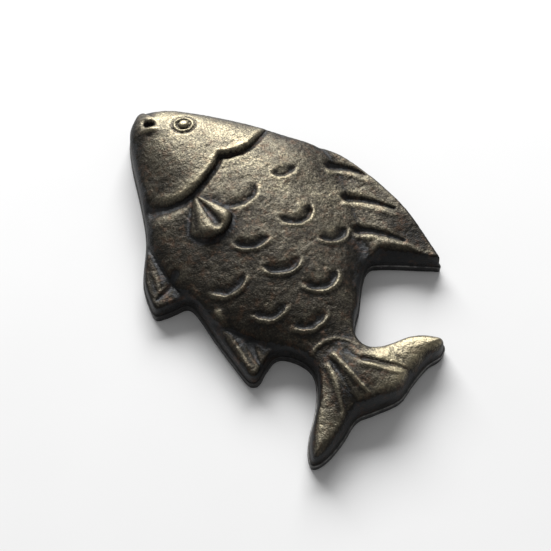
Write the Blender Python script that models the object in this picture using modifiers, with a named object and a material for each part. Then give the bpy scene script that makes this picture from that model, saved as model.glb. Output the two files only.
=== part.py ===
"""Fish-shaped souvenir bottle opener: a hollow relief casting screwed to a steel opener plate.

The fish lies on its back plate: +X runs from nose to tail, +Y towards the dorsal fin and +Z up
out of the relief. The origin is at the middle of the bottom of the whole opener.
The crown cap goes in the notch between the dorsal fin and the tail: the bare plate edge behind
the dorsal fin is the lip that hooks the cap, and the tail's upper lobe bears on top of it.
"""
import math

import bmesh
import bpy
import numpy as np
from mathutils import Vector

MM = 0.001                     # all the dimensions below are in millimetres
GAP = 0.3                      # clearance between neighbouring pieces

# Driving dimensions
FISH_LENGTH = 103.9            # nose to tail, along X
DRAWN_MIDDLE = 0.45            # X of the finished opener's middle in the drawing below
HALF_WIDTH = 33.6              # half of the fish's size along Y, with a little to spare
PLATE_THICKNESS = 2.2
CASTING_INSET = 0.5            # the casting stands this far inside the plate's edge
LIP_SETBACK = 0.6              # bare plate left behind the dorsal fin, to hook the cap
LIP_SLOPE = 1.75               # the casting rises this steeply from the lip, as a wedge
LIP_RIB = 1.5                  # height of the rib along the top of that slope
RIM_HEIGHT = 5.2               # where the casting's side wall ends and its relief begins
BODY_RISE = 7.0                # how far the body swells above its rim
HEAD_STEP = 1.3                # the gill cover stands this far above the body
CROWN_POWER = 0.65             # under 1, so that the flanks rise steeply and the crown is broad
CASTING_WALL = 3.0
LAND_WIDTH = 4.5               # flat land round the hollow, which sits on the plate
SCREW_DIAMETER = 3.0
SCREW_HEAD_DIAMETER = 6.0
SCREW_LENGTH = 6.0
SCREW_SINK = 0.2               # a screw's head ends this far inside the plate's back
DRIVE_ACROSS_FLATS = 2.0
DRIVE_DEPTH = 1.1
BOSS_DIAMETER = 7.6
PEG_DIAMETER = 3.0
MAGNET_DIAMETER = 18.0
MAGNET_THICKNESS = 2.85
CUP_WALL = 1.7
CUP_FLOOR = 1.0
CUP_FLANGE = 1.4               # how far the cup's flange stands out over the plate
CUP_FLANGE_THICKNESS = 0.8
MAGNET_SINK = 0.15             # magnet and cup end this far inside the plate's back
SEAT_WIDTH = 2.6

# Places, each worked out on the fish's own plan
CASTING_BOTTOM = PLATE_THICKNESS + GAP
SCREW_PLACES = ((-34.0, 3.0), (11.0, 13.5), (9.0, -17.5), (29.0, -6.5))
PEG_PLACES = ((-45.0, -2.0), (42.5, -13.5))
MAGNET_PLACE = (-11.0, 0.0)
EYE_PLACE = (-37.6, 4.8)
RELIEF_PITCH = 1.75            # spacing of the points on the relief's face
CORE_PITCH = 2.8               # spacing of the points on the hollow's ceiling

CORE_MIDDLE = -10.0            # X of the hollow's middle
CORE_HALF_LENGTH = 33.0

# Swells and ridges of the relief, above whatever lies round them
WEB_RISE_AT_TAIL = 0.8         # the tail's web is this much thicker than the other fins'
TAIL_ARCH_CENTRE = (37.0, -8.0)
TAIL_ARCH_RADIUS = 6.8
TAIL_ARCH_RISE = 1.2
LOBE_ROOT = (33.0, -7.5)
LOBE_TIPS = ((48.0, 9.5), (48.5, -26.0))
LOBE_RISE = 2.3
LOBE_HALF_WIDTH = 6.0
FIN_ROOT = (-18.2, -7.2)
FIN_END = (-6.8, -8.2)
FIN_RISE = 2.8
EYE_RISE = 0.5
EYE_REACH = 3.2

# The plate's outline, anticlockwise from the nose
OUTLINE = (
    # chin, belly and pelvic fin
    (-51.5, -0.8), (-49.4, -5.2), (-42.5, -10.2), (-30.0, -16.7), (-21.0, -22.0), (-11.5, -30.2),
    (-5.8, -32.8), (-2.6, -33.4), (-1.6, -32.2), (-0.5, -28.7), (0.3, -25.9),
    # anal fin
    (2.6, -25.2), (12.0, -26.5), (22.5, -27.6), (26.0, -27.6), (27.2, -26.0), (26.0, -22.5),
    # tail stem and lower lobe
    (25.3, -18.3), (28.5, -15.5), (33.0, -14.5), (36.7, -16.2), (41.0, -20.4), (45.6, -26.6),
    (48.7, -29.5), (51.1, -30.1), (52.0, -26.7), (51.1, -20.9), (49.4, -14.8),
    # upper lobe
    (50.7, -10.4), (52.4, -3.9), (51.1, 2.0), (50.3, 7.3), (50.6, 11.6), (48.8, 14.2),
    (45.7, 12.7), (42.5, 8.3), (40.5, 2.5), (38.5, -1.0), (35.3, -1.5),
    # cap mouth, up to the lip behind the dorsal fin
    (31.8, 1.0), (29.0, 4.9), (25.0, 9.5), (21.9, 14.0), (22.0, 16.5), (31.8, 27.3),
    # dorsal fin
    (33.0, 28.8), (31.8, 29.6), (24.5, 31.5), (17.3, 32.9), (9.6, 33.4), (1.0, 33.0),
    (-6.8, 31.7), (-11.7, 29.5),
    # nape and forehead
    (-20.6, 23.7), (-31.8, 17.6), (-41.5, 10.6), (-46.5, 6.2), (-50.3, 2.0),
)
LIP_ROOT = (22.0, 16.5)
LIP_TIP = (31.8, 27.3)

# The body between the fins: its upper and lower edge and its rise, at stations along X
BODY_STATIONS = (-51.5, -48.0, -40.0, -30.0, -20.0, -10.0, 0.0, 10.0, 20.0, 28.0, 34.0)
BODY_TOP = (-1.0, 4.6, 11.8, 18.8, 24.6, 28.0, 25.0, 20.2, 14.0, 6.5, 1.5)
BODY_BOTTOM = (-1.0, -6.3, -11.6, -16.8, -22.2, -25.6, -25.6, -24.6, -20.5, -16.0, -13.5)
BODY_SWELL = (0.0, 0.45, 0.85, 0.98, 1.0, 1.0, 0.97, 0.87, 0.7, 0.5, 0.38)

# The gill cover's edge: its X at heights Y along the flank
GILL_HEIGHTS = (-19.0, -14.3, -10.0, -6.4, -1.7, 2.8, 4.7, 7.6, 12.0, 16.3, 19.5)
GILL_EDGE = (-22.7, -19.8, -18.9, -18.9, -20.4, -22.6, -23.8, -22.1, -21.4, -22.5, -23.3)

COLOURS = {
    "antique_bronze": ((0.115, 0.085, 0.050), 0.95, 0.42),
    "blackened_steel": ((0.050, 0.050, 0.052), 0.90, 0.38),
    "zinc_screw_steel": ((0.450, 0.450, 0.440), 1.00, 0.30),
    "bright_cup_steel": ((0.560, 0.560, 0.550), 1.00, 0.25),
    "magnet_ferrite": ((0.035, 0.034, 0.036), 0.25, 0.60),
}


def clear_scene():
    """Start from an empty scene."""
    for old in list(bpy.data.objects):
        bpy.data.objects.remove(old, do_unlink=True)


def new_collection(name):
    collection = bpy.data.collections.new(name)
    bpy.context.scene.collection.children.link(collection)
    return collection


def new_material(name):
    """A Principled BSDF metal with its colour, metallic value and roughness."""
    colour, metallic, roughness = COLOURS[name]
    material = bpy.data.materials.new(name)
    material.use_nodes = True
    shader = material.node_tree.nodes["Principled BSDF"]
    shader.inputs["Base Color"].default_value = (*colour, 1.0)
    shader.inputs["Metallic"].default_value = metallic
    shader.inputs["Roughness"].default_value = roughness
    material.diffuse_color = (*colour, 1.0)
    return material


def new_object(name, mesh, collection):
    piece = bpy.data.objects.new(name, mesh)
    collection.objects.link(piece)
    return piece


def mesh_from(bm, name):
    mesh = bpy.data.meshes.new(name)
    bm.to_mesh(mesh)
    bm.free()
    return mesh


def mark_cutter(piece):
    """A cutter or a guide shows as wires only."""
    piece.hide_render = True
    piece.display_type = "WIRE"
    return piece


def boolean(piece, other, operation):
    """Cut, join or cross `piece` with `other`, which stays in the cutters' collection."""
    modifier = piece.modifiers.new(operation.lower() + "_" + other.name, "BOOLEAN")
    modifier.operation = operation
    modifier.object = other
    modifier.solver = "EXACT"


def shade(piece, material, angle=35.0):
    """Smooth the round faces, keep the real edges sharp, and give the piece its material."""
    piece.data.shade_smooth()
    piece.data.set_sharp_from_angle(angle=math.radians(angle))
    piece.data.materials.clear()
    piece.data.materials.append(material)


# ------------------------------------------------------------------ outline

def outline_object(name, inset, low, high, collection):
    """A flat closed curve through OUTLINE, moved in by `inset` and thickened from low to high.

    Each knot's handles lie along the line joining its two neighbours, and reach a third of the
    way to the next knot, so that straight stretches stay straight and corners stay tight.
    """
    curve = bpy.data.curves.new(name, "CURVE")
    curve.dimensions = "2D"
    curve.fill_mode = "BOTH"
    curve.resolution_u = 4
    curve.render_resolution_u = 0
    curve.extrude = 0.5 * (high - low) * MM
    curve.offset = -inset * MM
    spline = curve.splines.new("BEZIER")
    spline.bezier_points.add(len(OUTLINE) - 1)
    spline.use_cyclic_u = True
    knots = [Vector((x, y, 0.0)) * MM for x, y in OUTLINE]
    for index, point in enumerate(spline.bezier_points):
        knot = knots[index]
        before = knots[index - 1]
        after = knots[(index + 1) % len(knots)]
        direction = (after - before).normalized()
        point.handle_left_type = "FREE"
        point.handle_right_type = "FREE"
        point.co = knot
        point.handle_left = knot - direction * (knot - before).length / 3.0
        point.handle_right = knot + direction * (after - knot).length / 3.0
    drawn = new_object(name + "_curve", curve, collection)
    drawn.location.z = 0.5 * (low + high) * MM
    bpy.context.view_layer.update()
    return curve_to_mesh(drawn, name, collection)


def curve_to_mesh(drawn, name, collection):
    """Turn a thickened curve into a closed mesh with welded caps, and remove the curve."""
    depsgraph = bpy.context.evaluated_depsgraph_get()
    mesh = bpy.data.meshes.new_from_object(drawn.evaluated_get(depsgraph))
    bm = bmesh.new()
    bm.from_mesh(mesh)
    bmesh.ops.remove_doubles(bm, verts=bm.verts, dist=0.01 * MM)
    bmesh.ops.recalc_face_normals(bm, faces=bm.faces)
    bm.to_mesh(mesh)
    bm.free()
    piece = new_object(name, mesh, collection)
    piece.matrix_world = drawn.matrix_world.copy()
    bpy.data.objects.remove(drawn, do_unlink=True)
    return piece


# ------------------------------------------------------------------ relief

def ease(value):
    """Rise smoothly from 0 to 1 as `value` goes from 0 to 1."""
    held = np.clip(value, 0.0, 1.0)
    return held * held * (3.0 - 2.0 * held)


def body_share(x, y, inset):
    """1 along the body's middle line, 0 at its upper and lower edge moved in by `inset`.

    Across the body it is 1 - q squared to a power a little over a half, a round crown, where q
    is the distance from the middle line over the half width.
    """
    top = np.interp(x, BODY_STATIONS, BODY_TOP)
    bottom = np.interp(x, BODY_STATIONS, BODY_BOTTOM)
    half_width = np.maximum(0.5 * (top - bottom) - inset, 0.01)
    across = (y - 0.5 * (top + bottom)) / half_width
    return np.clip(1.0 - across ** 2, 0.0, 1.0) ** CROWN_POWER


def relief_height(x, y):
    """Height of the fish's face at (x, y): fins, body, gill cover, breast fin, tail and eye."""
    swell = np.interp(x, BODY_STATIONS, BODY_SWELL)
    share = body_share(x, y, 0.0)
    height = RIM_HEIGHT + BODY_RISE * swell * share

    # The gill cover ends in a step, and the head keeps its extra height up to the cheeks
    inside_head = np.interp(y, GILL_HEIGHTS, GILL_EDGE) - x
    height = height + HEAD_STEP * ease(inside_head / 1.2) * share

    # The fins' flat webs, above the rim but below the body
    web = RIM_HEIGHT + WEB_RISE_AT_TAIL * ease((x - 30.0) / 8.0)
    height = np.maximum(height, web)
    height = height + tail_swell(x, y) + breast_fin(x, y)

    # A low mound carries the eye
    eye = np.hypot(x - EYE_PLACE[0], y - EYE_PLACE[1])
    height = height + EYE_RISE * ease((EYE_REACH - eye) / 1.5)
    return wedge_to_lip(x, y, height)


def tail_swell(x, y):
    """The tail's root is a round arch, and both its lobes swell along their middle."""
    arch = np.hypot(x - TAIL_ARCH_CENTRE[0], y - TAIL_ARCH_CENTRE[1])
    arch_ridge = np.exp(-((arch - TAIL_ARCH_RADIUS) / 1.5) ** 2)
    height = TAIL_ARCH_RISE * arch_ridge * ease((TAIL_ARCH_CENTRE[0] + 1.0 - x) / 4.0)
    swell = np.zeros_like(x)
    for tip in LOBE_TIPS:
        along, off = along_and_off(x, y, LOBE_ROOT, tip)
        lobe = ease(1.0 - np.abs(off) / LOBE_HALF_WIDTH) * ease(along / 0.35)
        swell = np.maximum(swell, lobe * (x > LOBE_ROOT[0] - 3.0))
    return height + LOBE_RISE * swell


def breast_fin(x, y):
    """A fan on the flank that widens from its root and stands proud at its free end."""
    along, off = along_and_off(x, y, FIN_ROOT, FIN_END)
    spread = 1.3 + 3.4 * np.clip(along, 0.0, 1.0)
    fan = ease((spread - np.abs(off)) / 0.9) * ease(along / 0.15) * ease((1.0 - along) / 0.12)
    return FIN_RISE * fan * np.clip(along, 0.0, 1.0) ** 0.5


def wedge_to_lip(x, y, height):
    """A rib behind the dorsal fin, and from it a slope down to the lip that hooks the cap."""
    along, off = along_and_off(x, y, LIP_ROOT, LIP_TIP)
    slope_width = (RIM_HEIGHT + LIP_RIB - CASTING_BOTTOM) / LIP_SLOPE
    rib = np.exp(-((off - LIP_SETBACK - slope_width) / 1.4) ** 2)
    beside = ease((along + 0.1) / 0.3)
    slope = CASTING_BOTTOM + 0.5 + LIP_SLOPE * (off - LIP_SETBACK)
    held = np.minimum(height + LIP_RIB * rib * beside, np.maximum(slope, CASTING_BOTTOM + 0.5))
    beside_lip = (along > -0.1) & (off > -2.0) & (off < 6.0)
    return np.where(beside_lip, held, height)


def along_and_off(x, y, start, end):
    """Share of the way from start to end, and the distance off that line, for each point."""
    run_x = end[0] - start[0]
    run_y = end[1] - start[1]
    length = math.hypot(run_x, run_y)
    along = ((x - start[0]) * run_x + (y - start[1]) * run_y) / length ** 2
    off = ((y - start[1]) * run_x - (x - start[0]) * run_y) / length
    return along, off


def core_height(x, y):
    """Ceiling of the hollow: the body's crown less the wall, closed off before nose and tail."""
    swell = np.interp(x, BODY_STATIONS, BODY_SWELL)
    ends = np.sqrt(np.clip(1.0 - ((x - CORE_MIDDLE) / CORE_HALF_LENGTH) ** 4, 0.0, 1.0))
    rise = RIM_HEIGHT + BODY_RISE * swell - CASTING_WALL - CASTING_BOTTOM
    share = body_share(x, y, LAND_WIDTH)
    return CASTING_BOTTOM + (rise + 0.4) * share * ends - 0.4


def sculpted_block(name, surface, pitch, bottom, collection):
    """A grid whose points are lifted to a height function, thickened down to a flat bottom."""
    half_x = 0.5 * FISH_LENGTH + 2.0
    half_y = HALF_WIDTH + 2.0
    bm = bmesh.new()
    bmesh.ops.create_grid(
        bm, x_segments=round(2 * half_x / pitch), y_segments=round(2 * half_y / pitch), size=1.0)
    for vert in bm.verts:
        vert.co.x *= half_x
        vert.co.y *= half_y
    places = np.array([vert.co[:] for vert in bm.verts])
    heights = surface(places[:, 0], places[:, 1])
    grown = bmesh.ops.extrude_face_region(bm, geom=list(bm.faces))
    for vert, height in zip(list(bm.verts)[:len(heights)], heights):
        vert.co.z = height
    for item in grown["geom"]:
        if isinstance(item, bmesh.types.BMVert):
            item.co.z = bottom
    bmesh.ops.scale(bm, vec=(MM, MM, MM), verts=bm.verts)
    bmesh.ops.recalc_face_normals(bm, faces=bm.faces)
    return new_object(name, mesh_from(bm, name), collection)


# ------------------------------------------------------------------ round shapes

def rod(name, place, diameter, low, high, collection, sides=24):
    """A plain cylinder standing on the plan at `place`."""
    bm = bmesh.new()
    bmesh.ops.create_cone(
        bm, cap_ends=True, segments=sides, radius1=0.5 * diameter * MM,
        radius2=0.5 * diameter * MM, depth=(high - low) * MM)
    piece = new_object(name, mesh_from(bm, name), collection)
    piece.location = (place[0] * MM, place[1] * MM, 0.5 * (low + high) * MM)
    return piece


def turned(name, place, profile, collection, sides=32):
    """A solid turned about the upright axis at `place`.

    `profile` gives (radius, height) points down the outer side, from the top of the axis to the
    bottom of the axis.
    """
    bm = bmesh.new()
    points = [bm.verts.new((radius * MM, 0.0, height * MM)) for radius, height in profile]
    for upper, lower in zip(points, points[1:]):
        bm.edges.new((upper, lower))
    piece = new_object(name, mesh_from(bm, name), collection)
    piece.location = (place[0] * MM, place[1] * MM, 0.0)
    screw = piece.modifiers.new("turn", "SCREW")
    screw.steps = sides
    screw.render_steps = sides
    screw.use_merge_vertices = True
    screw.merge_threshold = 0.00001
    return piece


# ------------------------------------------------------------------ pieces

def countersink(number, place, collection):
    """The cutter for one screw's hole in the plate: a cone at the back, then a clear bore."""
    bore = 0.5 * SCREW_DIAMETER + GAP
    mouth = 0.5 * SCREW_HEAD_DIAMETER + GAP + SCREW_SINK
    depth = mouth - bore
    profile = (
        (0.0, PLATE_THICKNESS + 1.0), (bore, PLATE_THICKNESS + 1.0), (bore, depth),
        (mouth, 0.0), (mouth, -1.0), (0.0, -1.0),
    )
    return mark_cutter(turned(f"countersink_{number}", place, profile, collection))


def make_opener_plate(parts, cutters, material):
    """The flat steel plate: the whole outline, with holes for screws, pegs and the magnet."""
    plate = outline_object("opener_plate", 0.0, 0.0, PLATE_THICKNESS, parts)
    for number, place in enumerate(SCREW_PLACES, start=1):
        boolean(plate, countersink(number, place, cutters), "DIFFERENCE")
    holes = [("peg_hole", place, PEG_DIAMETER + 2 * GAP) for place in PEG_PLACES]
    cup_diameter = MAGNET_DIAMETER + 2 * GAP + 2 * CUP_WALL
    holes.append(("magnet_hole", MAGNET_PLACE, cup_diameter + 2 * GAP))
    for number, (name, place, diameter) in enumerate(holes, start=1):
        sides = 24 if name == "peg_hole" else 48
        hole = rod(f"{name}_{number}", place, diameter, -1.0, PLATE_THICKNESS + 1.0, cutters, sides)
        boolean(plate, mark_cutter(hole), "DIFFERENCE")
    shade(plate, material)
    return plate


def lip_cutter(collection):
    """A block along the lip, which keeps the casting back from the edge that hooks the cap."""
    root = Vector((*LIP_ROOT, 0.0))
    run = Vector((*LIP_TIP, 0.0)) - root
    across = Vector((run.y, -run.x, 0.0)).normalized()
    reach = 20.0
    bm = bmesh.new()
    bmesh.ops.create_cube(bm, size=1.0)
    bmesh.ops.scale(bm, vec=(2.2 * run.length * MM, reach * MM, 0.03), verts=bm.verts)
    block = new_object("lip_cutter", mesh_from(bm, "lip_cutter"), collection)
    block.rotation_euler.z = math.atan2(run.y, run.x)
    middle = root + run * 1.05 + across * (0.5 * reach - LIP_SETBACK)
    block.location = (middle.x * MM, middle.y * MM, 0.01)
    return mark_cutter(block)


def make_core(cutters):
    """The hollow's core, notched where the screw bosses and the magnet's ring seat stay."""
    core = sculpted_block("core", core_height, CORE_PITCH, 0.5, cutters)
    above_core = 12.0
    for number, place in enumerate(SCREW_PLACES, start=1):
        boss = rod(f"boss_{number}", place, BOSS_DIAMETER, 0.0, above_core, cutters)
        boolean(core, mark_cutter(boss), "DIFFERENCE")
    seat_low = CASTING_BOTTOM + CUP_FLANGE_THICKNESS + GAP
    seat_radius = 0.5 * MAGNET_DIAMETER + CUP_WALL + SEAT_WIDTH + 2 * GAP
    seat = rod("magnet_seat", MAGNET_PLACE, 2 * seat_radius, seat_low, above_core, cutters, 48)
    boolean(core, mark_cutter(seat), "DIFFERENCE")
    return mark_cutter(core)


def make_relief_casting(parts, cutters, material):
    """The relief: a sculpted face trimmed to the outline, hollow behind, with bosses and pegs."""
    casting = sculpted_block("relief_casting", relief_height, RELIEF_PITCH, 1.0, parts)
    trim = outline_object("trim", CASTING_INSET, CASTING_BOTTOM, 30.0, cutters)
    boolean(casting, mark_cutter(trim), "INTERSECT")
    boolean(casting, lip_cutter(cutters), "DIFFERENCE")
    boolean(casting, make_core(cutters), "DIFFERENCE")

    # The magnet's cup stands in a pocket above its flange
    cup_radius = 0.5 * MAGNET_DIAMETER + GAP + CUP_WALL
    cup_top = MAGNET_SINK + MAGNET_THICKNESS + GAP + CUP_FLOOR
    pocket = rod("cup_pocket", MAGNET_PLACE, 2 * (cup_radius + GAP), 2.0, cup_top + GAP, cutters, 48)
    boolean(casting, mark_cutter(pocket), "DIFFERENCE")
    for number, place in enumerate(SCREW_PLACES, start=1):
        top = SCREW_SINK + SCREW_LENGTH + GAP
        bore = rod(f"bore_{number}", place, SCREW_DIAMETER + 2 * GAP, 0.0, top, cutters)
        boolean(casting, mark_cutter(bore), "DIFFERENCE")
    for number, place in enumerate(PEG_PLACES, start=1):
        peg = rod(f"peg_{number}", place, PEG_DIAMETER, GAP, CASTING_BOTTOM + 1.0, cutters)
        boolean(casting, mark_cutter(peg), "UNION")
    shade(casting, material)
    return casting


def make_plate_screw(number, place, parts, cutters, material):
    """A countersunk screw driven from the back, with a six-sided recess in its head."""
    shank = 0.5 * SCREW_DIAMETER
    head = 0.5 * SCREW_HEAD_DIAMETER
    tip = SCREW_SINK + SCREW_LENGTH
    profile = (
        (0.0, tip), (shank - 0.4, tip), (shank, tip - 0.4), (shank, SCREW_SINK + head - shank),
        (head, SCREW_SINK), (0.0, SCREW_SINK),
    )
    screw = turned(f"plate_screw_{number}", place, profile, parts)
    across_corners = DRIVE_ACROSS_FLATS / math.cos(math.radians(30.0))
    recess = rod(
        f"drive_{number}", place, across_corners, -1.0, SCREW_SINK + DRIVE_DEPTH, cutters, sides=6)
    boolean(screw, mark_cutter(recess), "DIFFERENCE")
    shade(screw, material)
    return screw


def make_magnet_cup(parts, material):
    """The steel pot round the magnet, open at the back, with a flange over the plate."""
    pocket = 0.5 * MAGNET_DIAMETER + GAP
    outer = pocket + CUP_WALL
    flange = outer + CUP_FLANGE
    ceiling = MAGNET_SINK + MAGNET_THICKNESS + GAP
    flange_low = CASTING_BOTTOM
    flange_high = flange_low + CUP_FLANGE_THICKNESS
    profile = (
        (0.0, ceiling + CUP_FLOOR), (outer, ceiling + CUP_FLOOR), (outer, flange_high),
        (flange, flange_high), (flange, flange_low), (outer, flange_low), (outer, MAGNET_SINK),
        (pocket, MAGNET_SINK), (pocket, ceiling), (0.0, ceiling),
    )
    cup = turned("magnet_cup", MAGNET_PLACE, profile, parts, sides=48)
    shade(cup, material)
    return cup


def make_magnet_disc(parts, material):
    """The round magnet in its cup, with a small chamfer at both rims."""
    radius = 0.5 * MAGNET_DIAMETER
    chamfer = 0.3
    top = MAGNET_SINK + MAGNET_THICKNESS
    profile = (
        (0.0, top), (radius - chamfer, top), (radius, top - chamfer),
        (radius, MAGNET_SINK + chamfer), (radius - chamfer, MAGNET_SINK), (0.0, MAGNET_SINK),
    )
    disc = turned("magnet_disc", MAGNET_PLACE, profile, parts, sides=48)
    shade(disc, material)
    return disc


def main():
    clear_scene()
    parts = new_collection("fish_bottle_opener")
    cutters = new_collection("cutters")
    materials = {name: new_material(name) for name in COLOURS}
    make_opener_plate(parts, cutters, materials["blackened_steel"])
    make_relief_casting(parts, cutters, materials["antique_bronze"])
    for number, place in enumerate(SCREW_PLACES, start=1):
        make_plate_screw(number, place, parts, cutters, materials["zinc_screw_steel"])
    make_magnet_cup(parts, materials["bright_cup_steel"])
    make_magnet_disc(parts, materials["magnet_ferrite"])
    for piece in list(parts.objects) + list(cutters.objects):
        piece.location.x -= DRAWN_MIDDLE * MM


main()
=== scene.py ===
# %% [markdown]
# # A fish-shaped bottle opener, cast in relief
#
# The opener is a sandwich. In front is a hollow-backed bronze casting that carries the whole
# fish: head, gill cover, scales and fins. Behind it lies a flat steel plate with the same
# outline, and its bare edge behind the dorsal fin is the lip that hooks a crown cap. Screws
# driven from the back hold the two together, and a round magnet in a steel cup sits in a hole
# in the plate. Every surface here is worked out with numpy from a few formulas.

# %% The frame
import math

import bmesh
import bpy
import numpy as np
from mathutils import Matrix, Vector
from mathutils.geometry import delaunay_2d_cdt


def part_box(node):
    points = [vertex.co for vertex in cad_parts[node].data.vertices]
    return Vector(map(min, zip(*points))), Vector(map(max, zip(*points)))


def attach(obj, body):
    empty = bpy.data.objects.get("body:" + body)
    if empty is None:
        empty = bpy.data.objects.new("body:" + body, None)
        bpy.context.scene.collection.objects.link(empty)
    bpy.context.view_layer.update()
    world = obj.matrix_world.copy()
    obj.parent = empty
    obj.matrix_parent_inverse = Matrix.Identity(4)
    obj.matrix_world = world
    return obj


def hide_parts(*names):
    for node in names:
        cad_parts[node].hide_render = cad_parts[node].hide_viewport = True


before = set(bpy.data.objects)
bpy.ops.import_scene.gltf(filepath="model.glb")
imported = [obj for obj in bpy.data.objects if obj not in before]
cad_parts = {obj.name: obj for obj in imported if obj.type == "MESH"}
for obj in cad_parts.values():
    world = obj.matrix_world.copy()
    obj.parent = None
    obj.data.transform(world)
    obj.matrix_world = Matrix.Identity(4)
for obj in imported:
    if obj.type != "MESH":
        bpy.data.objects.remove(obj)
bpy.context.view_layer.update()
MM = 0.001                     # the steps below count in millimetres, and the meshes in metres


def node_box(name):
    """Lowest and highest corner of a part of the frame, in millimetres."""
    low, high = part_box(name)
    return np.array(low) / MM, np.array(high) / MM


plate_low, plate_high = node_box("opener_plate")
PLATE_TOP = plate_high[2]
GAP = 0.3                      # the clearance between neighbouring pieces
LAND = PLATE_TOP + GAP         # height of the casting's flat back
WALL_FOOT = PLATE_TOP + 0.08   # the casting's outer wall reaches almost down to the plate
BATCH = 4000                   # places measured at a time, which keeps the working arrays small
print("plate", plate_high - plate_low, "the casting's back lies at", LAND)

# %% [markdown]
# ## The outline
#
# A casting like this starts as a drawn outline. It could be traced with hundreds of points, but
# a draughtsman would place a few dozen and draw a smooth line through them. Each stretch here
# is a cubic curve. The line's direction at a point is parallel to the line joining the two
# neighbouring points, so straight stretches stay straight and tight corners stay tight.
# The drawing keeps its own zero, and each finished piece is moved by one small amount at the
# end, so that the opener's middle lies over the frame's origin.

# %% The outline's points, anticlockwise from the nose
DRAWN_MIDDLE = np.array((0.45, 0.0))   # the opener's middle, in the drawing
OUTLINE = (
    # chin, belly and pelvic fin
    (-51.5, -0.8), (-49.4, -5.2), (-42.5, -10.2), (-30.0, -16.7), (-21.0, -22.0), (-11.5, -30.2),
    (-5.8, -32.8), (-2.6, -33.4), (-1.6, -32.2), (-0.5, -28.7), (0.3, -25.9),
    # anal fin
    (2.6, -25.2), (12.0, -26.5), (22.5, -27.6), (26.0, -27.6), (27.2, -26.0), (26.0, -22.5),
    # tail stem and lower lobe
    (25.3, -18.3), (28.5, -15.5), (33.0, -14.5), (36.7, -16.2), (41.0, -20.4), (45.6, -26.6),
    (48.7, -29.5), (51.1, -30.1), (52.0, -26.7), (51.1, -20.9), (49.4, -14.8),
    # upper lobe
    (50.7, -10.4), (52.4, -3.9), (51.1, 2.0), (50.3, 7.3), (50.6, 11.6), (48.8, 14.2),
    (45.7, 12.7), (42.5, 8.3), (40.5, 2.5), (38.5, -1.0), (35.3, -1.5),
    # cap mouth, up to the lip behind the dorsal fin
    (31.8, 1.0), (29.0, 4.9), (25.0, 9.5), (21.9, 14.0), (22.0, 16.5), (31.8, 27.3),
    # dorsal fin
    (33.0, 28.8), (31.8, 29.6), (24.5, 31.5), (17.3, 32.9), (9.6, 33.4), (1.0, 33.0),
    (-6.8, 31.7), (-11.7, 29.5),
    # nape and forehead
    (-20.6, 23.7), (-31.8, 17.6), (-41.5, 10.6), (-46.5, 6.2), (-50.3, 2.0),
)
LIP_ROOT = np.array((22.0, 16.5))
LIP_TIP = np.array((31.8, 27.3))


def closed_curve(knots, per_span=24):
    """Points on a closed line through `knots`: cubic Bezier spans. A span's two inner points
    lie a third of its length from its ends, each along its own end's direction."""
    start = np.array(knots, float)
    end = np.roll(start, -1, axis=0)
    heading = end - np.roll(start, 1, axis=0)
    heading /= np.linalg.norm(heading, axis=1, keepdims=True)
    reach = np.linalg.norm(end - start, axis=1, keepdims=True) / 3.0
    leave = start + heading * reach
    arrive = end - np.roll(heading, -1, axis=0) * reach
    t = np.linspace(0.0, 1.0, per_span, endpoint=False)[None, :, None]
    spans = (
        (1 - t) ** 3 * start[:, None] + 3 * (1 - t) ** 2 * t * leave[:, None]
        + 3 * (1 - t) * t ** 2 * arrive[:, None] + t ** 3 * end[:, None])
    return spans.reshape(-1, 2)


def evenly(line, spacing):
    """A closed line again, with its points evenly spaced along its length."""
    closed = np.vstack([line, line[:1]])
    steps = np.hypot(*np.diff(closed, axis=0).T)
    run = np.concatenate([[0.0], np.cumsum(steps)])
    count = max(8, int(round(run[-1] / spacing)))
    places = np.linspace(0.0, run[-1], count, endpoint=False)
    return np.column_stack([np.interp(places, run, closed[:, axis]) for axis in (0, 1)])


def inward(line):
    """Unit vectors that point into a closed anticlockwise line, at each of its points."""
    along = np.roll(line, -1, axis=0) - np.roll(line, 1, axis=0)
    along /= np.linalg.norm(along, axis=1, keepdims=True)
    return np.column_stack([-along[:, 1], along[:, 0]])


def softened(line, rounds):
    """The closed line with each point moved a third of the way to its neighbours' middle."""
    for _ in range(rounds):
        middle = 0.5 * (np.roll(line, 1, axis=0) + np.roll(line, -1, axis=0))
        line = line + (middle - line) / 3.0
    return line


EDGE_SPACING = 0.4
plate_line = evenly(closed_curve(OUTLINE), EDGE_SPACING)
print("outline", len(plate_line), "points,", plate_line.min(0), plate_line.max(0))

# %% [markdown]
# The casting stands a third of a millimetre inside the plate all round. Its side wall leans in
# a little towards the top, so that the pattern leaves the sand. The inset line is softened, which
# rounds its corners as melted metal does.

# %% The casting's own line
CASTING_INSET = 0.35
DRAFT = 0.22                   # how far the side wall leans in
foot_line = evenly(softened(plate_line + CASTING_INSET * inward(plate_line), 6), EDGE_SPACING)
brow_line = softened(foot_line + DRAFT * inward(foot_line), 2)
print("casting outline", len(foot_line), "points")

# %% [markdown]
# ## Measuring on the plan
#
# The face could be sculpted by hand, but then nothing in it could be measured or changed by a
# number. Here nearly every feature of the relief is a height that depends on how far a place lies
# from some line: the outline, the gill cover's edge, a fin ray. So one helper measures that
# distance, and two curves turn a distance into a soft step or a bell.

# %% Distances and easing
def ease(value):
    """Rises smoothly from 0 to 1 as `value` goes from 0 to 1."""
    held = np.clip(value, 0.0, 1.0)
    return held * held * (3.0 - 2.0 * held)


def bump(value):
    """1 at zero, falling off on both sides as a bell."""
    return np.exp(-value * value)


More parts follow.
